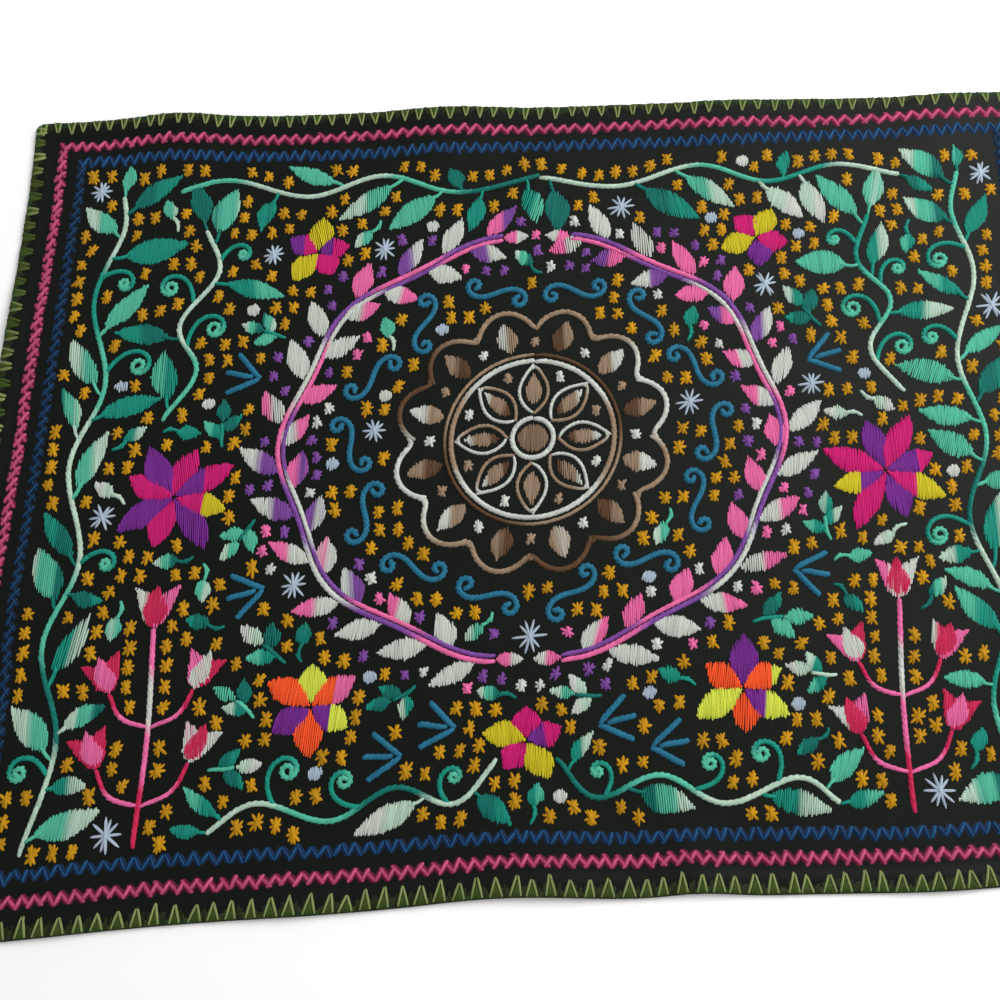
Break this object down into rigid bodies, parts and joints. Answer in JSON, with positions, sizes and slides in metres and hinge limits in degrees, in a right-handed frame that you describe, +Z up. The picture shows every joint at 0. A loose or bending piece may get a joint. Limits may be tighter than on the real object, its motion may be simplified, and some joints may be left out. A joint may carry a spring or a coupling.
{
  "type": "embroidered cloth",
  "caption": "Rectangular black cotton cloth with a hemmed edge, stitched borders and a dense embroidered face, lying slightly askew and puckered on a flat surface.",
  "frame": {"origin": "centre of the cloth's outline box, on the surface it lies on", "axes": "+X along the long edges, +Y from the lower to the upper long edge as pictured, +Z up out of the embroidered face"},
  "size_m": [0.6292, 0.456, 0.0053],
  "materials": {
    "cotton": "matt plain-woven black cotton with coloured cotton embroidery"
  },
  "bodies": {
    "root": {"cloth": "cotton"}
  },
  "joints": []
}
